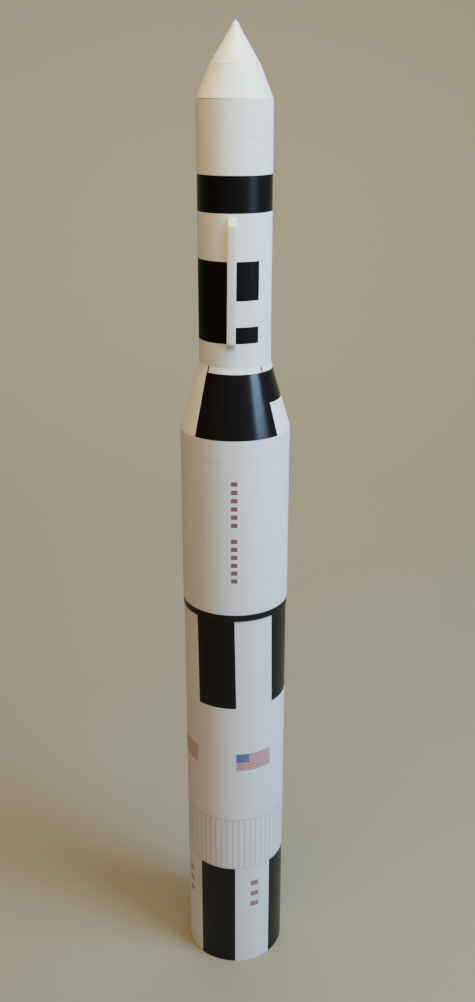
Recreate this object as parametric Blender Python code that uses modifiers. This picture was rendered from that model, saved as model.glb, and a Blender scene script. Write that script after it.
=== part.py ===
"""Space rocket, a standing card model: rolled and printed card tubes, cones and a cable tunnel.

Units are metres and +Z is up. The origin is the middle of the base, on the surface it stands on.
The front, where the cable tunnel is, faces -Y. Run it with: blender --background --python part.py
"""

import math

import bmesh
import bpy
from mathutils import Matrix

MM = 0.001

# Driving dimensions, a 1:144 model. The widths of the three bodies and the wall of rolled card.
BIG_RADIUS = 35.0 * MM
UPPER_RADIUS = 22.5 * MM
LOWER_RADIUS = 34.5 * MM
CARD = 0.5 * MM
GLUE_GAP = 0.3 * MM

# Heights above the table at which one section ends and the next begins.
BASE_TOP = 84.4 * MM
RIBS_TOP = 126.6 * MM
RING_BOTTOM = 283.1 * MM
RING_TOP = 287.6 * MM
BIG_TOP = 405.5 * MM
ADAPTER_TOP = 448.0 * MM
COLLAR_BOTTOM = 531.4 * MM
BAND_BOTTOM = 538.2 * MM
BAND_TOP = 559.1 * MM
PAYLOAD_SEAM = 579.8 * MM
NOSE_BOTTOM = 600.0 * MM
NOSE_BREAK = 618.0 * MM
TIP_BOTTOM = 638.0 * MM
TIP_TOP = 641.0 * MM

# Radii along the nose, which turns in more steeply above the break.
NOSE_BREAK_RADIUS = 14.7 * MM
TIP_SEAT_RADIUS = 2.4 * MM
TIP_RADIUS = 2.6 * MM

# The disc that closes the foot, flush with the rim of the base tube.
BASE_DISC_THICKNESS = 1.0 * MM

# The raised cable tunnel on the upper stage, a folded card strip with sloped ends.
TUNNEL_WIDTH = 5.1 * MM
TUNNEL_PROUD = 3.0 * MM
TUNNEL_BOTTOM = 459.6 * MM
TUNNEL_TOP = 536.6 * MM
TUNNEL_TOP_SLOPE = 5.1 * MM
TUNNEL_BOTTOM_SLOPE = 3.4 * MM
TUNNEL_ANGLE = math.radians(-4.5)
TUNNEL_SLANT = math.radians(0.65)

ROUND_STEPS = 64
MERGE_DISTANCE = 0.00001
FULL_TURN = math.radians(360)

WHITE_CARD = (0.80, 0.79, 0.76, 1.0)
BLACK_PRINT = (0.012, 0.012, 0.014, 1.0)
GREY_CARD = (0.42, 0.40, 0.37, 1.0)


def clear_scene():
    """Start from an empty scene."""
    for thing in list(bpy.data.objects):
        bpy.data.objects.remove(thing, do_unlink=True)


def new_material(name, colour, roughness):
    """A card finish: its colour and how dull it is."""
    material = bpy.data.materials.new(name)
    material.use_nodes = True
    shader = material.node_tree.nodes["Principled BSDF"]
    shader.inputs["Base Color"].default_value = colour
    shader.inputs["Roughness"].default_value = roughness
    shader.inputs["Metallic"].default_value = 0.0
    return material


def add_object(name, mesh, material, rocket, height):
    """Put a mesh in the rocket's collection, under its empty, at a height above the table."""
    part = bpy.data.objects.new(name, mesh)
    mesh.materials.append(material)
    rocket["collection"].objects.link(part)
    part.parent = rocket["empty"]
    part.location.z = height
    return part


def rolled_section(name, bottom, top, bottom_radius, top_radius, material, rocket):
    """One rolled section: a straight tube, or a cone where its two radii differ, open at both ends.

    The outline of its wall runs down the outer side first and is turned round the axis.
    """
    length = top - bottom - GLUE_GAP
    outline = [
        (top_radius, 0.0, length),
        (bottom_radius, 0.0, 0.0),
        (bottom_radius - CARD, 0.0, 0.0),
        (top_radius - CARD, 0.0, length),
    ]
    corners = len(outline)
    edges = [(corner, (corner + 1) % corners) for corner in range(corners)]
    mesh = bpy.data.meshes.new(name)
    mesh.from_pydata(outline, edges, [])
    part = add_object(name, mesh, material, rocket, bottom)
    screw = part.modifiers.new("turn", "SCREW")
    screw.axis = "Z"
    screw.angle = FULL_TURN
    screw.steps = ROUND_STEPS
    screw.render_steps = ROUND_STEPS
    screw.use_merge_vertices = True
    screw.merge_threshold = MERGE_DISTANCE
    screw.use_smooth_shade = True
    return part


def round_solid(name, bottom_radius, top_radius, bottom, top, material, rocket):
    """A solid disc or point, standing on its bottom face, with the same corners round it as the tubes."""
    shape = bmesh.new()
    bmesh.ops.create_cone(
        shape,
        cap_ends=True,
        segments=ROUND_STEPS,
        radius1=bottom_radius,
        radius2=top_radius,
        depth=top - bottom,
    )
    bmesh.ops.remove_doubles(shape, verts=shape.verts, dist=MERGE_DISTANCE)
    bmesh.ops.translate(shape, vec=(0.0, 0.0, (top - bottom) / 2), verts=shape.verts)
    mesh = bpy.data.meshes.new(name)
    shape.to_mesh(mesh)
    shape.free()
    return add_object(name, mesh, material, rocket, bottom)


def nose_tip(material, rocket):
    """The small rolled point that caps the nose, solid at this size."""
    return round_solid("nose_tip", TIP_RADIUS, 0.0, TIP_BOTTOM, TIP_TOP, material, rocket)


def base_disc(material, rocket):
    """The flat disc inside the foot, its underside level with the rim of the base tube."""
    radius = LOWER_RADIUS - CARD - GLUE_GAP
    return round_solid("base_disc", radius, radius, 0.0, BASE_DISC_THICKNESS, material, rocket)


def cable_tunnel(material, rocket):
    """The strip on the front of the upper stage: a box whose outer face is shorter than its foot."""
    length = TUNNEL_TOP - TUNNEL_BOTTOM
    depth = TUNNEL_PROUD - GLUE_GAP
    box = bmesh.new()
    bmesh.ops.create_cube(box, size=1.0)
    bmesh.ops.scale(box, vec=(TUNNEL_WIDTH, depth, length), verts=box.verts)
    outer_corners = [vertex for vertex in box.verts if vertex.co.y < 0.0]
    for vertex in outer_corners:
        if vertex.co.z > 0.0:
            vertex.co.z -= TUNNEL_TOP_SLOPE
        else:
            vertex.co.z += TUNNEL_BOTTOM_SLOPE
    slant = Matrix.Rotation(TUNNEL_SLANT, 3, "Y")
    bmesh.ops.rotate(box, cent=(0.0, 0.0, 0.0), matrix=slant, verts=box.verts)
    mesh = bpy.data.meshes.new("cable_tunnel")
    box.to_mesh(mesh)
    box.free()
    part = add_object("cable_tunnel", mesh, material, rocket, (TUNNEL_TOP + TUNNEL_BOTTOM) / 2)
    reach = UPPER_RADIUS + GLUE_GAP + depth / 2
    part.location.x = reach * math.sin(TUNNEL_ANGLE)
    part.location.y = -reach * math.cos(TUNNEL_ANGLE)
    part.rotation_euler.z = TUNNEL_ANGLE
    return part


def lower_stage(white, grey, rocket):
    """The foot disc, the base tube, the band with printed ribs, and the long tube above them."""
    base_disc(grey, rocket)
    sections = (
        ("base_tube", 0.0, BASE_TOP),
        ("ribbed_band", BASE_TOP, RIBS_TOP),
        ("lower_stage_tube", RIBS_TOP, RING_BOTTOM),
    )
    for name, bottom, top in sections:
        rolled_section(name, bottom, top, LOWER_RADIUS, LOWER_RADIUS, white, rocket)


def big_stage(white, black, rocket):
    """The widest tube, the black ring round its foot, and the cone that steps in to the upper stage."""
    rolled_section("big_stage_ring", RING_BOTTOM, RING_TOP, BIG_RADIUS, BIG_RADIUS, black, rocket)
    rolled_section("big_stage_tube", RING_TOP, BIG_TOP, BIG_RADIUS, BIG_RADIUS, white, rocket)
    rolled_section("adapter_cone", BIG_TOP, ADAPTER_TOP, BIG_RADIUS, UPPER_RADIUS, white, rocket)


def upper_stage(white, black, rocket):
    """The slim tubes above the cone, with the black band between them, and the cable tunnel."""
    sections = (
        ("upper_stage_tube", ADAPTER_TOP, COLLAR_BOTTOM, white),
        ("upper_stage_collar", COLLAR_BOTTOM, BAND_BOTTOM, white),
        ("black_band", BAND_BOTTOM, BAND_TOP, black),
        ("payload_tube_lower", BAND_TOP, PAYLOAD_SEAM, white),
        ("payload_tube_upper", PAYLOAD_SEAM, NOSE_BOTTOM, white),
    )
    for name, bottom, top, finish in sections:
        rolled_section(name, bottom, top, UPPER_RADIUS, UPPER_RADIUS, finish, rocket)
    cable_tunnel(white, rocket)


def nose(white, rocket):
    """The two rolled cones of the nose and the point on top."""
    rolled_section(
        "nose_cone_lower", NOSE_BOTTOM, NOSE_BREAK, UPPER_RADIUS, NOSE_BREAK_RADIUS, white, rocket
    )
    rolled_section(
        "nose_cone_upper", NOSE_BREAK, TIP_BOTTOM, NOSE_BREAK_RADIUS, TIP_SEAT_RADIUS, white, rocket
    )
    nose_tip(white, rocket)


def new_rocket():
    """The collection that holds every piece, and the empty that carries them."""
    collection = bpy.data.collections.new("space_rocket")
    bpy.context.scene.collection.children.link(collection)
    empty = bpy.data.objects.new("rocket_centre", None)
    collection.objects.link(empty)
    return {"collection": collection, "empty": empty}


def main():
    """Build the rocket from the foot to the point of the nose."""
    clear_scene()
    rocket = new_rocket()
    white = new_material("white_card", WHITE_CARD, 0.7)
    black = new_material("black_printed_card", BLACK_PRINT, 0.4)
    grey = new_material("grey_card", GREY_CARD, 0.9)
    lower_stage(white, grey, rocket)
    big_stage(white, black, rocket)
    upper_stage(white, black, rocket)
    nose(white, rocket)
    bpy.context.view_layer.update()


main()
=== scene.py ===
"""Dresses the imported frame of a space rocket, a standing model of rolled and printed card.

Every sheet is rolled again as a fine mesh over its node of the frame, with a lap down the back,
eased rims, and the joining strip that holds the next sheet. The print is shader maths on the place
on a sheet: the turn, in degrees from the front towards +X, and the height above the table.

Units are metres, except in the print, whose sizes are millimetres and degrees, and where a name says
otherwise. The front faces -Y and +Z is up. The script runs in Blender 4.5 and reads nothing but the
frame.
"""

from __future__ import annotations

import logging
import math
from collections.abc import Mapping, Sequence
from dataclasses import dataclass, replace
from enum import Enum
from typing import Union

import bmesh
import bpy
from mathutils import Matrix, Vector, noise


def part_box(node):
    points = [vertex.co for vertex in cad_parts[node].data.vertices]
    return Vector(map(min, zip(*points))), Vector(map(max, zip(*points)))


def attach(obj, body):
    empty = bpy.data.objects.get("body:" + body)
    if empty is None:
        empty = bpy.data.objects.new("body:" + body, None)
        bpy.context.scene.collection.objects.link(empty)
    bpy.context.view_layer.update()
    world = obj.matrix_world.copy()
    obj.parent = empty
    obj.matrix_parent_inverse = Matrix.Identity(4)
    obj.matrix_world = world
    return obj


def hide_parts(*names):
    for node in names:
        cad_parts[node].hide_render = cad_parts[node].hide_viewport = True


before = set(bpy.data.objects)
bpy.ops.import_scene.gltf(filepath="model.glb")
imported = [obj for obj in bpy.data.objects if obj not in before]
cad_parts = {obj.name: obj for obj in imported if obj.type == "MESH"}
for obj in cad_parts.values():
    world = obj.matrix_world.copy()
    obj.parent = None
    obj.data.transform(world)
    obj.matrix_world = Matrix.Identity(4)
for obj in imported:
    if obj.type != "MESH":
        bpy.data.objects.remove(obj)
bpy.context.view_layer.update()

log = logging.getLogger("card_rocket")

MM = 0.001
MM_PER_METRE = 1000.0
BODY = "root"

# The card: a wall as thick as the frame's, one ply of it, and the strip that joins two sheets.
WALL = 0.5 * MM
PLY = 0.2 * MM
STRIP_HEIGHT = 3.0 * MM

# How finely a sheet is rolled, and the angle past which an edge stays crisp.
COLUMNS = 180
ROW_HEIGHT = 1.5 * MM
RIM_ROW = 0.3 * MM
CRISP_EDGE = math.radians(25)
MERGE_DISTANCE = 0.001 * MM

# How far a print runs on past a rim, and how far a block reaches under its neighbour.
OVERPRINT_MM = 1.0
UNDERLAP_DEG = 2.0

Colour = tuple[float, float, float]
Number = Union["Value", float]


class Slot(Enum):
    """The record's material slots."""

    WHITE_CARD = "white_card"
    BLACK_PRINT = "black_print"
    GREY_CARD = "grey_card"


class Value:
    """A number socket of a material, worked on with ordinary operators."""

    def __init__(self, bench: Bench, socket: bpy.types.NodeSocket) -> None:
        """Keep the socket, and the bench that its material is made on."""
        self.bench = bench
        self.socket = socket

    def __add__(self, other: Number) -> Value:
        """The sum."""
        return self.bench.maths("ADD", self, other)

    def __sub__(self, other: Number) -> Value:
        """The difference."""
        return self.bench.maths("SUBTRACT", self, other)

    def __rsub__(self, other: Number) -> Value:
        """The difference, from a plain number."""
        return self.bench.maths("SUBTRACT", other, self)

    def __mul__(self, other: Number) -> Value:
        """The product."""
        return self.bench.maths("MULTIPLY", self, other)

    def __neg__(self) -> Value:
        """The same size with the other sign."""
        return self.bench.maths("MULTIPLY", self, -1.0)

    def __abs__(self) -> Value:
        """The size without its sign."""
        return self.bench.maths("ABSOLUTE", self)

    __radd__ = __add__
    __rmul__ = __mul__

    def wrapped(self, low: float, high: float) -> Value:
        """The value brought round into a range, as an angle is."""
        return self.bench.maths("WRAP", self, high, low)

    def least(self, other: Number) -> Value:
        """The smaller of two values."""
        return self.bench.maths("MINIMUM", self, other)

    def most(self, other: Number) -> Value:
        """The larger of two values."""
        return self.bench.maths("MAXIMUM", self, other)

    def edge(self, width: float) -> Value:
        """A mask, 0 below zero and 1 above it, that crosses over in the width given."""
        return self.bench.maths("MULTIPLY_ADD", self, 1.0 / width, 0.5, clamp=True)


class Bench:
    """The node tree of one material, and the tools that add nodes to it."""

    MIX_UNDER, MIX_OVER, MIX_RESULT = 6, 7, 2  # the colour sockets among a Mix node's many

    def __init__(self, name: str) -> None:
        """Start a material that holds only its surface shader and output.

        Args:
            name: What the material is called.
        """
        self.material = bpy.data.materials.new(name)
        self.material.use_nodes = True
        self.tree = self.material.node_tree
        self.shader = self.tree.nodes["Principled BSDF"]

    def feed(self, socket: bpy.types.NodeSocket, value: object) -> None:
        """Link a socket to a value, or set it to a constant.

        Args:
            socket: The input to feed.
            value: A Value, an output socket, or what the input holds.
        """
        if isinstance(value, Value):
            value = value.socket
        if isinstance(value, bpy.types.NodeSocket):
            self.tree.links.new(value, socket)
        else:
            socket.default_value = value

    def node(
        self,
        kind: str,
        settings: Mapping[str, object] | None = None,
        inputs: Mapping[str | int, object] | None = None,
    ) -> bpy.types.Node:
        """Add any node.

        Args:
            kind: The node's Blender type.
            settings: Its own settings, such as a Math node's operation.
            inputs: What each input socket gets, by its name or number.

        Returns:
            The node.
        """
        made = self.tree.nodes.new(kind)
        for name, setting in (settings or {}).items():
            setattr(made, name, setting)
        for key, value in (inputs or {}).items():
            self.feed(made.inputs[key], value)
        return made

    def maths(self, operation: str, *operands: Number, clamp: bool = False) -> Value:
        """Work out one step of arithmetic.

        Args:
            operation: The Math node's operation.
            operands: Values or plain numbers, in the node's order.
            clamp: Whether the result is kept between 0 and 1.

        Returns:
            The result.
        """
        settings = {"operation": operation, "use_clamp": clamp}
        made = self.node("ShaderNodeMath", settings, dict(enumerate(operands)))
        return Value(self, made.outputs[0])

    def mix(self, share: Number, under: object, over: object) -> bpy.types.NodeSocket:
        """Lay one colour over another.

        Args:
            share: How much of the upper colour shows, from 0 to 1.
            under: The lower colour, four numbers or a socket.
            over: The upper colour, four numbers or a socket.

        Returns:
            The colour socket of the result.
        """
        inputs = {0: share, self.MIX_UNDER: under, self.MIX_OVER: over}
        made = self.node("ShaderNodeMix", {"data_type": "RGBA"}, inputs)
        return made.outputs[self.MIX_RESULT]

    def grain(self, where: object, per_mm: float, detail: float = 2.0) -> Value:
        """Smooth noise between about -1 and 1.

        Args:
            where: A vector socket in millimetres.
            per_mm: How many bumps there are in a millimetre.
            detail: How many finer layers are added to it.

        Returns:
            The noise.
        """
        inputs = {"Vector": where, "Scale": per_mm, "Detail": detail}
        made = self.node("ShaderNodeTexNoise", {"noise_dimensions": "3D"}, inputs)
        return Value(self, made.outputs[0]) * 2.0 - 1.0

    def scaled(self, vector: object, factors: Sequence[float]) -> bpy.types.NodeSocket:
        """A vector with each of its numbers multiplied."""
        inputs = {0: vector, 1: tuple(factors)}
        return self.node("ShaderNodeVectorMath", {"operation": "MULTIPLY"}, inputs).outputs[0]

    def toned(self, colour: Colour, tone: Value) -> bpy.types.NodeSocket:
        """A plain colour made lighter or darker by a tone near 1."""
        doubled = tuple(2.0 * part for part in colour)
        return self.mix(tone * 0.5, (0.0, 0.0, 0.0, 1.0), (*doubled, 1.0))

    def bump(self, strength: float, distance: float, height: Value) -> bpy.types.NodeSocket:
        """A normal that follows a height."""
        inputs = {"Strength": strength, "Distance": distance, "Height": height}
        return self.node("ShaderNodeBump", None, inputs).outputs[0]


class Place:
    """Where a point lies on a rolled sheet, read from its Object coordinates."""

    RAGS_PER_MM, RAG_DETAIL, RAG_MM = 2.2, 3.0, 0.09  # how a printed edge wanders

    def __init__(self, bench: Bench, radius: float) -> None:
        """Add the nodes that read the place.

        Args:
            bench: The material's bench.
            radius: The sheet's middle radius, which turns degrees into millimetres.
        """
        here = bench.node("ShaderNodeTexCoord").outputs["Object"]
        self.point = bench.scaled(here, (MM_PER_METRE,) * 3)
        parts = bench.node("ShaderNodeSeparateXYZ", None, {0: self.point}).outputs
        across, depth, self.height = (Value(bench, part) for part in parts)
        self.turn = bench.maths("ARCTAN2", across, -depth) * math.degrees(1.0)
        self.mm_per_deg = math.radians(radius * MM_PER_METRE)
        self.ragged = bench.grain(self.point, self.RAGS_PER_MM, self.RAG_DETAIL) * self.RAG_MM


@dataclass(frozen=True)
class Block:
    """A printed rectangle on a rolled sheet, alone or repeated round it.

    Turns are in degrees from the front and heights in millimetres above the table. The lean is how
    many degrees it turns in each millimetre up, where the sheet was rolled a little askew.
    """

    left: float
    right: float
    bottom: float
    top: float
    repeats: int = 1
    lean: float = 0.0

    def depth(self, place: Place) -> Value:
        """How deep in the block a point is.

        Args:
            place: The point's place on the sheet.

        Returns:
            Millimetres to the nearest edge, below 0 outside.
        """
        half_period = 180.0 / self.repeats
        above = place.height - (self.bottom + self.top) / 2
        aside = place.turn - (self.left + self.right) / 2 - above * self.lean
        aside = abs(aside.wrapped(-half_period, half_period))
        across = ((self.right - self.left) / 2 - aside) * place.mm_per_deg
        along = (self.top - self.bottom) / 2 - abs(above)
        return across.least(along)


@dataclass(frozen=True)
class Bars:
    """Level bars that fill a block from its top down."""

    block: Block
    pitch: float
    thickness: float

    def depth(self, place: Place) -> Value:
        """How deep in a bar a point is.

        Args:
            place: The point's place on the sheet.

        Returns:
            Millimetres to the nearest edge, below 0 outside.
        """
        half = self.thickness / 2
        below = (self.block.top - half - place.height).wrapped(-self.pitch / 2, self.pitch / 2)
        return (half - abs(below)).least(self.block.depth(place))


@dataclass(frozen=True)
class Hoop:
    """A band or a line printed all the way round."""

    bottom: float
    top: float

    def depth(self, place: Place) -> Value:
        """How deep in the hoop a point is, in millimetres."""
        middle = (self.bottom + self.top) / 2
        return (self.top - self.bottom) / 2 - abs(place.height - middle)


@dataclass(frozen=True)
class Ink:
    """A printed colour, how dull it dries, how much of the card it hides and how much it shines."""

    colour: Colour
    roughness: float
    cover: float = 1.0
    shine: float = 0.0


# The black of the panels, and how it dried elsewhere: sleek on the cone, deep on the band, dull on
# the slim tube, and worn on the base and the ring.
BLACK_INK = Ink((0.0075, 0.0065, 0.0068), 0.5, shine=0.5)
SLEEK_BLACK_INK = replace(BLACK_INK, roughness=0.2, shine=0.0)
DEEP_BLACK_INK = replace(BLACK_INK, colour=(0.005, 0.0045, 0.0048), shine=0.36)
DULL_BLACK_INK = replace(BLACK_INK, shine=0.05)
WORN_BLACK_INK = replace(BLACK_INK, colour=(0.0095, 0.008, 0.0085), shine=0.48)

# The colours: the widest tube's red bars, the base's marks, the flags, and the fine grey lines.
RED_INK = Ink((0.2, 0.035, 0.035), 0.45, 0.92)
MARK_INK = Ink((0.28, 0.1, 0.12), 0.45, 0.9)
PALE_MARK_INK = replace(MARK_INK, cover=0.6)
FLAG_TINT_INK = Ink((0.66, 0.42, 0.42), 0.5)
PALE_FLAG_TINT_INK = Ink((0.72, 0.6, 0.56), 0.5)
FLAG_RED_INK = Ink((0.49, 0.205, 0.2), 0.5)
FLAG_BLUE_INK = Ink((0.11, 0.135, 0.28), 0.45, 0.95)
LINE_INK = Ink((0.43, 0.405, 0.405), 0.5, 0.95)


@dataclass(frozen=True)
class Layer:
    """What one ink prints."""

    ink: Ink
    shapes: tuple[Block | Bars | Hoop, ...]

    def depth(self, place: Place) -> Value:
        """How deep in the print a point is.

        Args:
            place: The point's place on the sheet.

        Returns:
            Millimetres to the nearest edge, below 0 outside.
        """
        depth = self.shapes[0].depth(place)
        for shape in self.shapes[1:]:
            depth = depth.most(shape.depth(place))
        return depth


@dataclass(frozen=True)
class CardStock:
    """The bare card: its colours, its surface, and how its edges wear."""

    light: Colour = (0.80, 0.79, 0.765)
    shade: Colour = (0.72, 0.705, 0.67)
    # The soil colour darkens the lap with glue dirt, and the rims with dirt and painted shade where
    # one sheet meets the next.
    soil: Colour = (0.42, 0.39, 0.34)
    roughness: float = 0.58
    gloss: float = 0.05
    shine_roughness: float = 0.2
    fibre_height: float = 0.012 * MM
    wear_mm: float = 0.03
    lap_line_mm: float = 0.14


@dataclass(frozen=True)
class PrintedCard:
    """Card stock and the layers printed on it, the first laid down first."""

    stock: CardStock = CardStock()
    layers: tuple[Layer, ...] = ()

    # The card's grain: how it is stretched up or round a sheet, its bumps in a millimetre, and how
    # much each kind shows.
    UPRIGHT, LEVEL = (1.0, 1.0, 0.04), (0.03, 0.03, 1.0)
    STREAKS_PER_MM, STREAKS_SHOW = 1.1, 1.6
    BANDS_PER_MM, BANDS_SHOW = 0.7, 0.9
    CLOUDS_PER_MM, FLECKS_PER_MM = 0.11, 1.3
    GRAIN_SHOWS, MEAN_SHADE, ROUGH_MOTTLE = 0.5, 0.4, 0.05

    # The print: how its edges wander and blur, and how uneven its tone, dullness and shine are.
    RIM_RAGGED, RIM_BLUR_MM = 1.5, 0.08
    EDGE_RAGGED, EDGE_BLUR_MM = 0.4, 0.1
    TONE_STREAKS, ROUGH_STREAKS = 0.12, 0.03
    SPECKS_PER_MM, SPECK_DETAIL, SPECKS_SHOW = 0.8, 3.0, 0.6

    # The dirt along the lap, and the dirt and painted shade along the rims, where the sheets meet.
    LAP_BLUR_MM, LAP_SOIL = 0.12, 0.45
    RIM_SOIL_MM, RIM_SOIL_BLUR_MM = 0.22, 0.25

    # The felt of the fibres, fine and coarse.
    FELT_PER_MM, FELT_DETAIL, FELT_SHOWS = 2.6, 3.0, 0.6
    WAVES_PER_MM, WAVES_SHOW = 0.35, 2.5
    FELT_STRENGTH = 0.35

    def material(self, sheet: CardPiece) -> bpy.types.Material:
        """Make the finish of one piece of card.

        Args:
            sheet: The piece it goes on, which gives the rims and the lap.

        Returns:
            The material.
        """
        bench, stock = Bench(sheet.name), self.stock
        sockets = bench.shader.inputs
        place = Place(bench, sheet.print_radius)
        streaks = bench.grain(bench.scaled(place.point, self.UPRIGHT), self.STREAKS_PER_MM)
        bands = bench.grain(bench.scaled(place.point, self.LEVEL), self.BANDS_PER_MM)
        clouds = bench.grain(place.point, self.CLOUDS_PER_MM)
        mottle = clouds * 0.5 + bench.grain(place.point, self.FLECKS_PER_MM) * 0.5
        grain = mottle + streaks * self.STREAKS_SHOW + bands * self.BANDS_SHOW
        shading = grain * self.GRAIN_SHOWS + self.MEAN_SHADE
        colour = bench.mix(shading, (*stock.light, 1.0), (*stock.shade, 1.0))
        rough: Number = stock.roughness + mottle * self.ROUGH_MOTTLE
        rim = self.rim_distance(place, sheet)
        printed = (rim - stock.wear_mm + place.ragged * self.RIM_RAGGED).edge(self.RIM_BLUR_MM)
        shine: Number = 0.0
        for layer in self.layers:
            ink = layer.ink
            depth = layer.depth(place) + place.ragged * self.EDGE_RAGGED
            cover = depth.edge(self.EDGE_BLUR_MM) * printed * ink.cover
            toned = bench.toned(ink.colour, 1.0 + streaks * self.TONE_STREAKS)
            colour = bench.mix(cover, colour, toned)
            rough = rough + cover * (ink.roughness + streaks * self.ROUGH_STREAKS - rough)
            shine = shine + cover * (ink.shine - shine)
        # Glue dirt along the lap, and dirt with painted shade along the rims.
        colour = bench.mix(self.soiling_and_shade(place, sheet, rim), colour, (*stock.soil, 1.0))
        bench.feed(sockets["Base Color"], colour)
        bench.feed(sockets["Roughness"], rough)
        bench.feed(sockets["Normal"], self.fibres(bench, place))
        if any(layer.ink.shine for layer in self.layers):
            specks = bench.grain(place.point, self.SPECKS_PER_MM, self.SPECK_DETAIL)
            bench.feed(sockets["Coat Weight"], shine * (specks * self.SPECKS_SHOW + 1.0))
        sockets["Specular IOR Level"].default_value = stock.gloss
        sockets["Coat Roughness"].default_value = stock.shine_roughness
        return bench.material

    @staticmethod
    def rim_distance(place: Place, sheet: CardPiece) -> Value:
        """How far a point is from the nearer rim of its sheet, in millimetres."""
        foot, head = sheet.bottom * MM_PER_METRE, sheet.top * MM_PER_METRE
        return (place.height - foot).least(head - place.height)

    def soiling_and_shade(self, place: Place, sheet: CardPiece, rim: Value) -> Value:
        """How dark the lap is with dirt, and the rims with dirt and painted shade, from 0 to 1.

        Args:
            place: The point's place on the sheet.
            sheet: The piece, which gives the lap and how dark its rims are with dirt and painted
                shade.
            rim: The distance to the nearer rim in millimetres.

        Returns:
            The share of dirt and painted shade.
        """
        from_lap = abs((place.turn - sheet.lap_deg).wrapped(-180.0, 180.0)) * place.mm_per_deg
        lap = (self.stock.lap_line_mm - from_lap).edge(self.LAP_BLUR_MM) * self.LAP_SOIL
        rims = (self.RIM_SOIL_MM - rim).edge(self.RIM_SOIL_BLUR_MM) * sheet.rim_soil
        return lap.most(rims)

    def fibres(self, bench: Bench, place: Place) -> bpy.types.NodeSocket:
        """Raise the fine felt of the card.

        Args:
            bench: The material's bench.
            place: The point's place on the sheet.

        Returns:
            The bumped normal.
        """
        felt = bench.grain(place.point, self.FELT_PER_MM, self.FELT_DETAIL) * self.FELT_SHOWS
        height = felt + bench.grain(place.point, self.WAVES_PER_MM) * self.WAVES_SHOW
        return bench.bump(self.FELT_STRENGTH, self.stock.fibre_height, height)


# The sheets came from several printings: rosy below, cool on the slim tube, a warm strip for the
# tunnel, and smoother card on the cone and the nose.
ROSY_CARD = CardStock(light=(0.80, 0.765, 0.75), shade=(0.72, 0.683, 0.657))
COOL_CARD = CardStock(light=(0.80, 0.805, 0.805), shade=(0.72, 0.72, 0.71))
WARM_CARD = CardStock((0.84, 0.775, 0.715), (0.756, 0.69, 0.627), roughness=0.45, gloss=0.5)
CONE_CARD = CardStock(gloss=0.27)
NOSE_CARD = CardStock(roughness=0.45, gloss=0.5)

# Sheets inked all over, right to their rims: the band and the ring.
INKED_CARD = CardStock(wear_mm=-0.1)
EVERYWHERE = (Hoop(0.0, MM_PER_METRE),)
DEEP_BLACK_CARD = PrintedCard(INKED_CARD, (Layer(DEEP_BLACK_INK, EVERYWHERE),))
WORN_BLACK_CARD = PrintedCard(INKED_CARD, (Layer(WORN_BLACK_INK, EVERYWHERE),))


@dataclass(frozen=True)
class PlainBoard:
    """Unprinted grey board with flecks of other paper in it."""

    name: str
    light: Colour = (0.47, 0.45, 0.41)
    dark: Colour = (0.33, 0.31, 0.285)
    roughness: float = 0.9
    relief: float = 0.03 * MM

    CLOUDS_PER_MM = 0.25
    FLECKS_PER_MM, FLECK_DETAIL, FLECK_BLUR = 1.6, 3.0, 0.2
    FLECKS_FROM, FLECKS_SHOW, FLECKS_SMOOTH = 0.25, 0.35, 0.06

    def material(self) -> bpy.types.Material:
        """Make the board's finish.

        Returns:
            The material.
        """
        bench = Bench(self.name)
        here = bench.node("ShaderNodeTexCoord").outputs["Object"]
        point = bench.scaled(here, (MM_PER_METRE,) * 3)
        cloud = bench.grain(point, self.CLOUDS_PER_MM)
        flecks = bench.grain(point, self.FLECKS_PER_MM, self.FLECK_DETAIL) - self.FLECKS_FROM
        flecks = flecks.edge(self.FLECK_BLUR)
        colour = bench.mix(cloud * 0.5 + 0.5, (*self.light, 1.0), (*self.dark, 1.0))
        colour = bench.mix(flecks * self.FLECKS_SHOW, colour, (*self.dark, 1.0))
        sockets = bench.shader.inputs
        bench.feed(sockets["Base Color"], colour)
        bench.feed(sockets["Roughness"], self.roughness - flecks * self.FLECKS_SMOOTH)
        bench.feed(sockets["Normal"], bench.bump(0.5, self.relief, cloud + flecks * 0.5))
        return bench.material


@dataclass(frozen=True)
class StudioPaper:
    """The plain pale paper of the floor and backdrop, with the faintest cloudiness."""

    colour: Colour = (0.3, 0.257, 0.158)
    roughness: float = 0.8

    CLOUDS_PER_METRE, CLOUDS_SHOW, CLOUD_SHADE = 1.4, 0.04, 0.85

    def material(self) -> bpy.types.Material:
        """Make the paper's finish.

        Returns:
            The material.
        """
        bench = Bench("studio_paper")
        here = bench.node("ShaderNodeTexCoord").outputs["Object"]
        cloud = bench.grain(here, self.CLOUDS_PER_METRE) * self.CLOUDS_SHOW
        darker = tuple(self.CLOUD_SHADE * part for part in self.colour)
        colour = bench.mix(cloud + 0.5, (*self.colour, 1.0), (*darker, 1.0))
        bench.feed(bench.shader.inputs["Base Color"], colour)
        bench.shader.inputs["Roughness"].default_value = self.roughness
        return bench.material


def ease_edges(shape: bmesh.types.BMesh, edges: Sequence, width: float, segments: int = 2) -> None:
    """Round some edges of a shape off.

    Args:
        shape: The bmesh.
        edges: The edges to round.
        width: How far from the edge the rounding starts.
        segments: How many faces it has.
    """
    bmesh.ops.bevel(
        shape,
        geom=edges,
        offset=width,
        segments=segments,
        profile=0.5,
        affect="EDGES",
        material=-1,
    )


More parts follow.
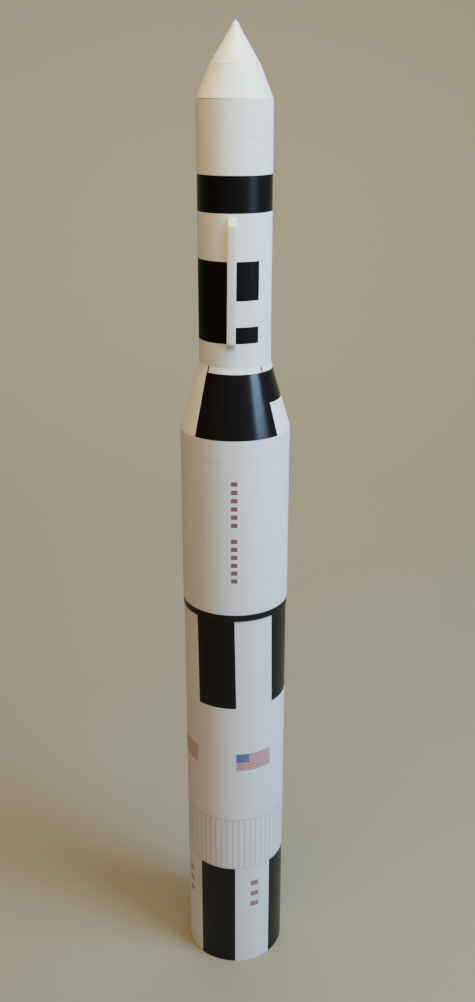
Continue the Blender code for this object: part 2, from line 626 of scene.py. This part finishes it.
@dataclass(kw_only=True)
class Piece:
    """One piece of the model: the node it stands for, its slot, and how it is turned in place."""

    node: str
    slot: Slot
    turned: Matrix | None = None

    @property
    def name(self) -> str:
        """What the piece is called."""
        return f"{self.node}_card"

    def shape(self) -> bmesh.types.BMesh:
        """Model the piece."""
        raise NotImplementedError

    def finish_material(self) -> bpy.types.Material:
        """Make the piece's finish."""
        raise NotImplementedError

    def build(self) -> bpy.types.Object:
        """Model the piece, dress it and set it on the frame.

        Returns:
            The finished object.
        """
        shape = self.shape()
        if self.turned is not None:
            bmesh.ops.transform(shape, matrix=self.turned, verts=shape.verts)
        data = bpy.data.meshes.new(self.name)
        shape.to_mesh(data)
        shape.free()
        data.shade_smooth()
        data.set_sharp_from_angle(angle=CRISP_EDGE)
        data.materials.append(self.finish_material())
        piece = bpy.data.objects.new(self.name, data)
        bpy.context.scene.collection.objects.link(piece)
        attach(piece, BODY)
        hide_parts(self.node)
        log.info("%s: %d faces", self.name, len(data.polygons))
        return piece


@dataclass(kw_only=True)
class CardPiece(Piece):
    """A piece of printed card between two heights, with a lap where its edges meet."""

    bottom: float
    top: float
    finish: PrintedCard = PrintedCard()
    lap_deg: float = 180.0
    # How dark its rims are painted: dirt, and painted shade where it meets the next piece.
    rim_soil: float = 0.1

    @property
    def print_radius(self) -> float:
        """The radius at which its print is laid out."""
        raise NotImplementedError

    def finish_material(self) -> bpy.types.Material:
        """Print and dress the card."""
        return self.finish.material(self)


@dataclass(kw_only=True)
class RolledSheet(CardPiece):
    """A sheet of card rolled into a tube or a cone, with a joining strip glued inside its top.

    The strip leans in by strip_lean for each unit of height where the sheet above is a cone. The
    gap is the hairline left under the next sheet. The groove is the height at which the lower edge
    of a strip inside shows through.
    """

    bottom_radius: float
    top_radius: float
    strip_height: float = STRIP_HEIGHT
    strip_lean: float = 0.0
    gap: float = 0.03 * MM
    rim_ease: float = 0.05 * MM
    groove: float | None = None

    SLIT_DEG, LAP_FADE_DEG = 0.15, 16.0
    OVAL = 0.09 * MM
    GROOVE_DEPTH, GROOVE_WIDTH = 0.12 * MM, 1.6 * MM

    # Broad dents and narrow flutes: how deep, and how close they come round the sheet and up it.
    DENT, DENTS_ROUND, DENTS_UP = 0.07 * MM, 1.7, 22.0
    FLUTE, FLUTES_ROUND, FLUTES_UP = 0.045 * MM, 8.0, 7.0

    def __post_init__(self) -> None:
        """Leave the hairline under the next sheet."""
        self.top -= self.gap

    @property
    def print_radius(self) -> float:
        """The radius half way up."""
        return (self.bottom_radius + self.top_radius) / 2

    def radius_at(self, height: float) -> float:
        """The outer radius at a height, on the straight line between the rims."""
        share = (height - self.bottom) / (self.top - self.bottom)
        return self.bottom_radius + share * (self.top_radius - self.bottom_radius)

    def section(self, shape: bmesh.types.BMesh) -> None:
        """Draw the section through the wall at the lap, its outer side cut into rows.

        Args:
            shape: An empty bmesh that gets the outline.
        """
        inner = self.top_radius - WALL
        outer = (self.bottom, self.bottom + RIM_ROW, self.top - RIM_ROW, self.top)
        corners = [
            (self.bottom_radius - WALL, self.bottom),
            *((self.radius_at(height), height) for height in outer),
            (inner, self.top),
        ]
        if self.strip_height:
            tip = inner - self.strip_lean * self.strip_height
            foot = self.top - self.strip_height
            corners += [
                (tip, self.top + self.strip_height),
                (tip - PLY, self.top + self.strip_height),
                (self.radius_at(foot) - WALL - PLY, foot),
            ]
        lap = math.radians(self.lap_deg)
        points = [
            shape.verts.new((radius * math.sin(lap), -radius * math.cos(lap), height))
            for radius, height in corners
        ]
        edges = [shape.edges.new(pair) for pair in zip(points, points[1:] + points[:1])]
        rows = max(1, round((self.top - self.bottom) / ROW_HEIGHT))
        bmesh.ops.subdivide_edges(shape, edges=[edges[2]], cuts=rows - 1)

    def shape(self) -> bmesh.types.BMesh:
        """Roll the wall nearly all the way round, close it at the lap, and ease its rims.

        Returns:
            The sheet.
        """
        shape = bmesh.new()
        self.section(shape)
        first = shape.edges[:]
        rolled = bmesh.ops.spin(
            shape,
            geom=shape.verts[:] + first,
            cent=(0.0, 0.0, 0.0),
            axis=(0.0, 0.0, 1.0),
            angle=math.radians(360.0 - self.SLIT_DEG),
            steps=COLUMNS,
            use_merge=False,
        )
        last = [part for part in rolled["geom_last"] if isinstance(part, bmesh.types.BMEdge)]
        bmesh.ops.bridge_loops(shape, edges=first + last)
        bmesh.ops.recalc_face_normals(shape, faces=shape.faces)
        self.ease_rims(shape)
        self.settle(shape)
        return shape

    def ease_rims(self, shape: bmesh.types.BMesh) -> None:
        """Take the sharpness off the two outer rims.

        Args:
            shape: The rolled sheet.
        """
        rims = ((self.bottom_radius, self.bottom), (self.top_radius, self.top))
        chosen = [
            edge
            for edge in shape.edges
            for radius, height in rims
            if all(
                abs(end.co.z - height) < MERGE_DISTANCE
                and abs(end.co.xy.length - radius) < MERGE_DISTANCE
                for end in edge.verts
            )
        ]
        ease_edges(shape, chosen, self.rim_ease)

    def settle(self, shape: bmesh.types.BMesh) -> None:
        """Press the wall a little out of true, always inwards, and lay one edge under the lap.

        Args:
            shape: The rolled sheet.
        """
        seed = self.bottom * MM_PER_METRE
        for vertex in shape.verts:
            radius = vertex.co.xy.length
            way = vertex.co.xy / radius
            dented = Vector((*(way * self.DENTS_ROUND), vertex.co.z * self.DENTS_UP + seed))
            fluted = Vector((*(way * self.FLUTES_ROUND), vertex.co.z * self.FLUTES_UP - seed))
            sunk = self.DENT * (0.5 + 0.5 * noise.noise(dented))
            sunk += self.OVAL * (0.5 + 0.5 * (way.x**2 - way.y**2))
            sunk += self.FLUTE * (0.5 + 0.5 * noise.noise(fluted))
            if self.groove:
                off = (vertex.co.z - self.groove) / self.GROOVE_WIDTH
                sunk += self.GROOVE_DEPTH * math.exp(-off * off)
            turn = math.degrees(math.atan2(way.x, -way.y))
            behind = (self.lap_deg - turn) % 360.0
            if self.SLIT_DEG / 2 < behind < self.LAP_FADE_DEG:
                share = 1.0 - behind / self.LAP_FADE_DEG
                sunk += PLY * share * share * (3.0 - 2.0 * share)
            vertex.co.xy = way * (radius - sunk)


@dataclass(kw_only=True)
class FootDisc(Piece):
    """The round board that closes the foot of the model."""

    radius: float
    thickness: float
    ease: float = 0.15 * MM

    def shape(self) -> bmesh.types.BMesh:
        """Cut the disc and ease its lower edge.

        Returns:
            The disc.
        """
        shape = bmesh.new()
        bmesh.ops.create_cone(
            shape,
            cap_ends=True,
            segments=COLUMNS,
            radius1=self.radius,
            radius2=self.radius,
            depth=self.thickness,
        )
        bmesh.ops.translate(shape, vec=(0.0, 0.0, self.thickness / 2), verts=shape.verts)
        rim = [edge for edge in shape.edges if all(end.co.z < self.ease for end in edge.verts)]
        ease_edges(shape, rim, self.ease)
        return shape

    def finish_material(self) -> bpy.types.Material:
        """Dress the disc as plain grey board."""
        return PlainBoard(self.name).material()


@dataclass(kw_only=True)
class NoseTip(CardPiece):
    """The small point on the nose, rolled from one scrap of card and rounded at its end."""

    radius: float
    point_radius: float = 0.28 * MM
    point_ease: float = 0.2 * MM
    foot_ease: float = 0.08 * MM
    sides: int = 96

    @property
    def print_radius(self) -> float:
        """The radius half way up."""
        return (self.radius + self.point_radius) / 2

    def shape(self) -> bmesh.types.BMesh:
        """Turn the point, and round its end and its rim.

        Returns:
            The point.
        """
        shape = bmesh.new()
        height = self.top - self.bottom
        bmesh.ops.create_cone(
            shape,
            cap_ends=True,
            segments=self.sides,
            radius1=self.radius,
            radius2=self.point_radius,
            depth=height,
        )
        bmesh.ops.translate(shape, vec=(0.0, 0.0, self.bottom + height / 2), verts=shape.verts)
        for level, ease in ((self.top, self.point_ease), (self.bottom, self.foot_ease)):
            rim = [
                edge
                for edge in shape.edges
                if all(abs(end.co.z - level) < MERGE_DISTANCE for end in edge.verts)
            ]
            ease_edges(shape, rim, ease, 3)
        return shape


@dataclass(kw_only=True)
class CableTunnel(CardPiece):
    """The folded strip on the front of the upper stage, with a sloped flap at each end."""

    tube_radius: float
    width: float = 5.1 * MM
    proud: float = 3.0 * MM
    top_slope: float = 5.1 * MM
    bottom_slope: float = 3.4 * MM
    turn_deg: float = -4.5
    slant_deg: float = 0.65
    sunk: float = 0.25 * MM
    fold: float = 0.22 * MM

    @property
    def print_radius(self) -> float:
        """The radius of the strip's face."""
        return self.tube_radius + self.proud

    def shape(self) -> bmesh.types.BMesh:
        """Fold the strip, slope its ends, ease the folds and lay it on the tube.

        Returns:
            The strip.
        """
        length, depth = self.top - self.bottom, self.proud + self.sunk
        shape = bmesh.new()
        bmesh.ops.create_cube(shape, size=1.0)
        bmesh.ops.scale(shape, vec=(self.width, depth, length), verts=shape.verts)
        for corner in shape.verts:
            if corner.co.y < 0.0:
                corner.co.z += -self.top_slope if corner.co.z > 0.0 else self.bottom_slope
        folds = [edge for edge in shape.edges if any(end.co.y < 0.0 for end in edge.verts)]
        ease_edges(shape, folds, self.fold, 3)
        reach = self.tube_radius - self.sunk + depth / 2
        turn = Matrix.Rotation(math.radians(self.turn_deg), 4, "Z")
        slant = Matrix.Rotation(math.radians(self.slant_deg), 4, "Y")
        middle = Matrix.Translation((0.0, -reach, (self.top + self.bottom) / 2))
        bmesh.ops.transform(shape, matrix=turn @ middle @ slant, verts=shape.verts)
        return shape


def low(node: str) -> float:
    """The height of a node's lower end."""
    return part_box(node)[0].z


def widest(node: str) -> float:
    """The largest radius of a round node."""
    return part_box(node)[1].x


def tube(node: str, above: str, finish: PrintedCard, **others: object) -> RolledSheet:
    """A straight sheet that reaches up to the node above it.

    Args:
        node: The node it stands for.
        above: The node that stands on it.
        finish: Its print.
        others: Any other field of the sheet.

    Returns:
        The sheet.
    """
    radius = widest(node)
    settings = {"slot": Slot.WHITE_CARD, "bottom_radius": radius, "top_radius": radius, **others}
    return RolledSheet(node=node, bottom=low(node), top=low(above), finish=finish, **settings)


@dataclass(frozen=True)
class LowerStage:
    """The foot disc, the base tube, the ribbed band and the long tube above them.

    Heights of the print are in millimetres above the table, and turns in degrees from the front.
    """

    column_left: float = -45.0
    column_right: float = -0.2
    columns: int = 4
    mark_left: float = 18.5
    mark_right: float = 28.7
    mark_top: float = 72.0
    mark_pitch: float = 9.2
    mark_thickness: float = 4.2
    mark_count: int = 3
    rib_count: int = 52
    rib_first: float = -3.0
    rib_width: float = 1.05
    foot_line: float = 0.5
    head_line: float = 0.55
    panel_length: float = 65.9
    panel_left: float = -46.15
    panel_right: float = -0.7
    panel_lean: float = -0.0275
    flag_left: float = 1.0
    flag_right: float = 44.0
    flag_corner_right: float = 16.1
    flag_top: float = 181.2
    flag_bottom: float = 167.8
    flag_corner_bottom: float = 174.6
    flag_stripes: int = 13
    flag_stripe_share: float = 0.66
    side_flag_stripe_share: float = 0.42
    side_flag_shift: float = -2.4
    line_overprint: float = 0.1
    disc_play: float = 0.02 * MM

    def base_print(self, bottom: float, top: float) -> PrintedCard:
        """Black columns, and three plain red bars where the white columns carry their marks.

        Args:
            bottom: The tube's lower rim in millimetres.
            top: Its upper rim.

        Returns:
            The printed finish.
        """
        ends = (bottom - OVERPRINT_MM, top + OVERPRINT_MM)
        column = Block(self.column_left, self.column_right, *ends, self.columns)
        foot = self.mark_top - self.mark_pitch * (self.mark_count - 1) - self.mark_thickness
        layers = [Layer(WORN_BLACK_INK, (column,))]
        for turn, ink in ((0.0, MARK_INK), (-90.0, PALE_MARK_INK)):
            marks = Block(self.mark_left + turn, self.mark_right + turn, foot, self.mark_top, 2)
            layers.append(Layer(ink, (Bars(marks, self.mark_pitch, self.mark_thickness),)))
        return PrintedCard(ROSY_CARD, tuple(layers))

    def rib_print(self, bottom: float, top: float) -> PrintedCard:
        """Fine upright lines, with a line round each end.

        Args:
            bottom: The band's lower rim in millimetres.
            top: Its upper rim.

        Returns:
            The printed finish.
        """
        half, past = self.rib_width / 2, self.line_overprint
        ribs = Block(self.rib_first - half, self.rib_first + half, bottom, top, self.rib_count)
        foot = Hoop(bottom - past, bottom + self.foot_line)
        head = Hoop(top - self.head_line, top + past)
        return PrintedCard(ROSY_CARD, (Layer(LINE_INK, (ribs, foot, head)),))

    def panel_print(self, top: float) -> PrintedCard:
        """Black panels hung from the ring, and plain striped flags under the white columns.

        Args:
            top: The tube's upper rim in millimetres.

        Returns:
            The printed finish.
        """
        panels = Block(
            self.panel_left,
            self.panel_right,
            top - self.panel_length,
            top + self.panel_length,
            self.columns,
            self.panel_lean,
        )
        stripe = 2 * (self.flag_top - self.flag_bottom) / self.flag_stripes
        layers, stripes, corners = [Layer(BLACK_INK, (panels,))], [], []
        for turn, tint, share in (
            (0.0, FLAG_TINT_INK, self.flag_stripe_share),
            (self.side_flag_shift - 90.0, PALE_FLAG_TINT_INK, self.side_flag_stripe_share),
        ):
            left, right = self.flag_left + turn, self.flag_right + turn
            flag = Block(left, right, self.flag_bottom, self.flag_top, 2)
            layers.append(Layer(tint, (flag,)))
            stripes.append(Bars(flag, stripe, share * stripe))
            right = self.flag_corner_right + turn
            corners.append(Block(left, right, self.flag_corner_bottom, self.flag_top, 2))
        layers += [Layer(FLAG_RED_INK, tuple(stripes)), Layer(FLAG_BLUE_INK, tuple(corners))]
        return PrintedCard(ROSY_CARD, tuple(layers))

    def build(self) -> None:
        """Roll, print and stand the lower stage."""
        base_top, ribs_top = low("ribbed_band"), low("lower_stage_tube")
        disc_low, disc_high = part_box("base_disc")
        FootDisc(
            node="base_disc",
            slot=Slot.GREY_CARD,
            radius=widest("base_tube") - WALL - self.disc_play,
            thickness=disc_high.z - disc_low.z,
        ).build()
        base = self.base_print(0.0, base_top * MM_PER_METRE)
        ribs = self.rib_print(base_top * MM_PER_METRE, ribs_top * MM_PER_METRE)
        panels = self.panel_print(low("big_stage_ring") * MM_PER_METRE)
        tube("base_tube", "ribbed_band", base).build()
        tube("ribbed_band", "lower_stage_tube", ribs, lap_deg=176.0).build()
        # The long tube's rims are darker with dirt and painted shade.
        tube("lower_stage_tube", "big_stage_ring", panels, lap_deg=178.0, rim_soil=0.25).build()


@dataclass(frozen=True)
class BigStage:
    """The black ring, the widest tube with its column of red bars, and the cone above."""

    bars_left: float = -4.3
    bars_right: float = 2.5
    bar_thickness: float = 3.0
    bar_pitch: float = 5.5
    bars_in_a_group: int = 6
    upper_group_top: float = 379.45
    lower_group_top: float = 341.05
    strip_edge: float = 389.7 * MM
    cone_band: float = 3.9
    cone_panel_left: float = -46.0
    cone_panel_right: float = 48.1
    cone_panel_lean: float = -0.05
    cone_side_right: float = 137.0
    cone_step: float = 425.6
    cone_line_left: float = -45.0
    cone_line_right: float = 45.0
    cone_line_width: float = 2.7

    def bar_print(self) -> PrintedCard:
        """Two groups of plain red bars in one column, repeated at the back.

        Returns:
            The printed finish.
        """
        groups = []
        for top in (self.upper_group_top, self.lower_group_top):
            foot = top - self.bar_pitch * (self.bars_in_a_group - 1) - self.bar_thickness
            column = Block(self.bars_left, self.bars_right, foot, top, 2)
            groups.append(Bars(column, self.bar_pitch, self.bar_thickness))
        return PrintedCard(ROSY_CARD, (Layer(RED_INK, tuple(groups)),))

    def cone_print(self, bottom: float, top: float) -> PrintedCard:
        """The cone's black panels, full height in front and behind and half height on the right.

        Args:
            bottom: The cone's lower rim in millimetres.
            top: Its upper rim.

        Returns:
            The printed finish.
        """
        band = top - self.cone_band
        half = self.cone_line_width / 2
        left, right = self.cone_panel_left, self.cone_panel_right
        lines = (self.cone_line_left, self.cone_line_right)
        panels = (
            Block(left, right, bottom - OVERPRINT_MM, band, 2, self.cone_panel_lean),
            Block(right - UNDERLAP_DEG, self.cone_side_right, self.cone_step, band),
            *(Block(line - half, line + half, band - OVERPRINT_MM, top) for line in lines),
        )
        return PrintedCard(CONE_CARD, (Layer(SLEEK_BLACK_INK, panels),))

    def build(self) -> None:
        """Roll, print and stand the big stage."""
        cone_foot, cone_top = low("adapter_cone"), low("upper_stage_tube")
        wide, slim = widest("adapter_cone"), widest("upper_stage_tube")
        lean = (wide - slim) / (cone_top - cone_foot)
        tube("big_stage_ring", "big_stage_tube", WORN_BLACK_CARD, slot=Slot.BLACK_PRINT).build()
        tube(
            "big_stage_tube",
            "adapter_cone",
            self.bar_print(),
            strip_lean=lean,
            lap_deg=182.0,
            groove=self.strip_edge,
        ).build()
        RolledSheet(
            node="adapter_cone",
            slot=Slot.WHITE_CARD,
            bottom=cone_foot,
            top=cone_top,
            bottom_radius=wide,
            top_radius=slim,
            finish=self.cone_print(cone_foot * MM_PER_METRE, cone_top * MM_PER_METRE),
            gap=0.08 * MM,
        ).build()


@dataclass(frozen=True)
class UpperStage:
    """The slim tubes above the cone, with their black blocks and band, and the cable tunnel."""

    block_left: float = -97.0
    block_middle: float = -4.0
    lower_arm_right: float = 38.7
    upper_arm_right: float = 39.6
    block_bottom: float = 462.6
    lower_arm_top: float = 472.6
    upper_arm_bottom: float = 488.15
    block_top: float = 511.1
    lean: float = 0.02
    tunnel_bottom: float = 459.6 * MM
    tunnel_top: float = 536.6 * MM

    def block_print(self) -> PrintedCard:
        """Black blocks left of the tunnel, with two arms on its right, and the same again behind.

        Returns:
            The printed finish.
        """
        arm_left = self.block_middle - UNDERLAP_DEG
        spans = (
            (self.block_left, self.block_middle, self.block_bottom, self.block_top),
            (arm_left, self.lower_arm_right, self.block_bottom, self.lower_arm_top),
            (arm_left, self.upper_arm_right, self.upper_arm_bottom, self.block_top),
        )
        blocks = tuple(Block(*span, 2, self.lean) for span in spans)
        return PrintedCard(COOL_CARD, (Layer(DULL_BLACK_INK, blocks),))

    def build(self) -> None:
        """Roll, print and stand the upper stage."""
        plain = PrintedCard()
        lean = (widest("nose_cone_lower") - widest("nose_cone_upper")) / (
            low("nose_cone_upper") - low("nose_cone_lower")
        )
        tube("upper_stage_tube", "upper_stage_collar", self.block_print()).build()
        tube("upper_stage_collar", "black_band", PrintedCard(COOL_CARD), lap_deg=177.0).build()
        tube("black_band", "payload_tube_lower", DEEP_BLACK_CARD, slot=Slot.BLACK_PRINT).build()
        tube("payload_tube_lower", "payload_tube_upper", plain, lap_deg=184.0).build()
        tube(
            "payload_tube_upper",
            "nose_cone_lower",
            plain,
            lap_deg=179.0,
            strip_lean=lean,
            gap=0.12 * MM,
            rim_ease=0.1 * MM,
            # Its rims are darker with dirt and painted shade under the nose.
            rim_soil=0.45,
        ).build()
        CableTunnel(
            node="cable_tunnel",
            slot=Slot.WHITE_CARD,
            bottom=self.tunnel_bottom,
            top=self.tunnel_top,
            finish=PrintedCard(WARM_CARD),
            tube_radius=widest("upper_stage_tube"),
        ).build()


@dataclass(frozen=True)
class Nose:
    """The two cones of the nose and its point, glued on with a slight lean to the right."""

    lean_deg: float = 0.7
    seat_radius: float = 2.4 * MM

    def build(self) -> None:
        """Roll and stand the nose."""
        foot, bend, seat = low("nose_cone_lower"), low("nose_cone_upper"), low("nose_tip")
        wide, middle = widest("nose_cone_lower"), widest("nose_cone_upper")
        pivot = Matrix.Translation((0.0, 0.0, foot))
        turned = pivot @ Matrix.Rotation(math.radians(self.lean_deg), 4, "Y") @ pivot.inverted()
        shared = {"slot": Slot.WHITE_CARD, "turned": turned, "finish": PrintedCard(NOSE_CARD)}
        RolledSheet(
            node="nose_cone_lower",
            bottom=foot,
            top=bend,
            bottom_radius=wide,
            top_radius=middle,
            strip_lean=(middle - self.seat_radius) / (seat - bend),
            gap=0.06 * MM,
            # Its rims are darker with dirt and painted shade.
            rim_soil=0.35,
            lap_deg=183.0,
            **shared,
        ).build()
        RolledSheet(
            node="nose_cone_upper",
            bottom=bend,
            top=seat,
            bottom_radius=middle,
            top_radius=self.seat_radius,
            strip_height=0.0,
            lap_deg=175.0,
            **shared,
        ).build()
        NoseTip(
            node="nose_tip",
            bottom=seat,
            top=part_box("nose_tip")[1].z,
            radius=widest("nose_tip"),
            lap_deg=150.0,
            **shared,
        ).build()


@dataclass(frozen=True)
class Softbox:
    """A soft light: its bearing from the front, how steeply it looks down, its size and its aim."""

    name: str
    bearing_deg: float
    rise_deg: float
    distance: float
    width: float
    height: float
    colour: Colour
    watts: float
    aim: tuple[float, float, float] = (0.0, 0.0, 0.36)

    def build(self) -> None:
        """Hang the light and turn it to its aim."""
        light = bpy.data.lights.new(self.name, "AREA")
        light.shape = "RECTANGLE"
        light.size, light.size_y = self.width, self.height
        light.color, light.energy = self.colour, self.watts
        bearing, rise = math.radians(self.bearing_deg), math.radians(self.rise_deg)
        way = Vector(
            (
                math.sin(bearing) * math.cos(rise),
                -math.cos(bearing) * math.cos(rise),
                math.sin(rise),
            )
        )
        lamp = bpy.data.objects.new(self.name, light)
        place = Matrix.Translation(Vector(self.aim) + way * self.distance)
        lamp.matrix_world = place @ way.to_track_quat("Z", "Y").to_matrix().to_4x4()
        lamp.visible_camera = False
        bpy.context.scene.collection.objects.link(lamp)


# A cool window and its low sill on the right, a warm room on the left, one over the nose, a wash on
# the backdrop behind the model and one behind the camera, and a fill from behind. Each row has its
# name, bearing, rise, distance, width, height, colour, watts and, where it isn't the model's middle,
# its aim.
SOFTBOXES = (
    Softbox("window_light", 60.0, 40.0, 0.95, 0.44, 0.92, (0.38, 0.65, 1.0), 24.2),
    Softbox("window_foot", 57.0, 5.0, 0.95, 0.44, 0.42, (0.6, 0.7, 1.0), 1.2),
    Softbox("room_light", -24.0, 60.0, 0.95, 0.55, 0.55, (1.0, 0.665, 0.36), 5.9),
    Softbox("nose_light", 30.0, 64.0, 0.35, 0.2, 0.2, (1.0, 0.9, 0.12), 1.9, (0.0, 0.0, 0.62)),
    Softbox("wall_wash", 0.0, 35.0, 2.4, 2.0, 0.8, (0.96, 1.0, 0.95), 66.0, (0.0, 3.0, 0.6)),
    Softbox("far_wash", 180.0, 35.0, 2.4, 2.0, 0.8, (1.0, 0.98, 0.94), 13.0, (0.0, -3.0, 0.6)),
    Softbox("back_fill", 180.0, 50.0, 1.2, 0.8, 0.8, (1.0, 0.93, 0.85), 3.0),
)


@dataclass(frozen=True)
class Studio:
    """The floor that sweeps up into the backdrop, the lights and the camera.

    The camera's place comes from the ring curves and outlines of the photograph, whose frame is 475
    by 1002 pixels. Its pitch is how far it looks down, and its yaw how far it looks to the right.
    """

    floor_radius: float = 1.0
    sweep_radius: float = 2.5
    wall_height: float = 5.0
    sweep_steps: int = 40
    round_steps: int = 128
    camera_distance: float = 0.64527
    camera_height: float = 0.60235
    camera_pitch_deg: float = 21.079
    camera_yaw_deg: float = 0.1425
    focal_px: float = 1056.2
    picture_height_px: float = 1002.0
    sensor_mm: float = 36.0
    nearest: float = 0.01
    farthest: float = 50.0
    ambient: Colour = (0.95, 0.8, 1.0)
    ambient_strength: float = 0.32

    def backdrop(self) -> None:
        """Lay the floor and its round sweep."""
        shape = bmesh.new()
        centre = shape.verts.new((0.0, 0.0, 0.0))
        turn_in = shape.verts.new((self.floor_radius, 0.0, 0.0))
        shape.edges.new((centre, turn_in))
        swept = bmesh.ops.spin(
            shape,
            geom=[turn_in],
            cent=(self.floor_radius, 0.0, self.sweep_radius),
            axis=(0.0, -1.0, 0.0),
            angle=math.radians(90),
            steps=self.sweep_steps,
        )
        rise = next(part for part in swept["geom_last"] if isinstance(part, bmesh.types.BMVert))
        top = shape.verts.new((rise.co.x, 0.0, self.wall_height))
        shape.edges.new((rise, top))
        bmesh.ops.spin(
            shape,
            geom=shape.verts[:] + shape.edges[:],
            cent=(0.0, 0.0, 0.0),
            axis=(0.0, 0.0, 1.0),
            angle=math.radians(360),
            steps=self.round_steps,
            use_merge=True,
        )
        bmesh.ops.remove_doubles(shape, verts=shape.verts, dist=MERGE_DISTANCE)
        bmesh.ops.recalc_face_normals(shape, faces=shape.faces)
        data = bpy.data.meshes.new("backdrop")
        shape.to_mesh(data)
        shape.free()
        data.shade_smooth()
        data.materials.append(StudioPaper().material())
        backdrop = bpy.data.objects.new("backdrop", data)
        bpy.context.scene.collection.objects.link(backdrop)

    def lights(self) -> None:
        """Hang the softboxes, over a dim ambient."""
        for softbox in SOFTBOXES:
            softbox.build()
        world = bpy.data.worlds.new("ambient")
        world.use_nodes = True
        background = world.node_tree.nodes["Background"]
        background.inputs["Color"].default_value = (*self.ambient, 1.0)
        background.inputs["Strength"].default_value = self.ambient_strength
        bpy.context.scene.world = world

    def camera(self) -> None:
        """Stand the camera where the photograph was taken."""
        data = bpy.data.cameras.new("camera")
        data.sensor_width = self.sensor_mm
        data.lens = self.sensor_mm * self.focal_px / self.picture_height_px
        data.clip_start, data.clip_end = self.nearest, self.farthest
        camera = bpy.data.objects.new("camera", data)
        camera.location = (0.0, -self.camera_distance, self.camera_height)
        camera.rotation_euler = (
            math.radians(90.0 - self.camera_pitch_deg),
            0.0,
            math.radians(-self.camera_yaw_deg),
        )
        bpy.context.scene.collection.objects.link(camera)
        bpy.context.scene.camera = camera

    def build(self) -> None:
        """Set up the whole studio."""
        self.backdrop()
        self.lights()
        self.camera()


def main() -> None:
    """Dress the model from the foot to the point of the nose, and light it."""
    logging.basicConfig(level=logging.INFO, format="%(message)s")
    for assembly in (Studio(), LowerStage(), BigStage(), UpperStage(), Nose()):
        log.info("building %s", type(assembly).__name__)
        assembly.build()


if __name__ == "__main__":
    main()
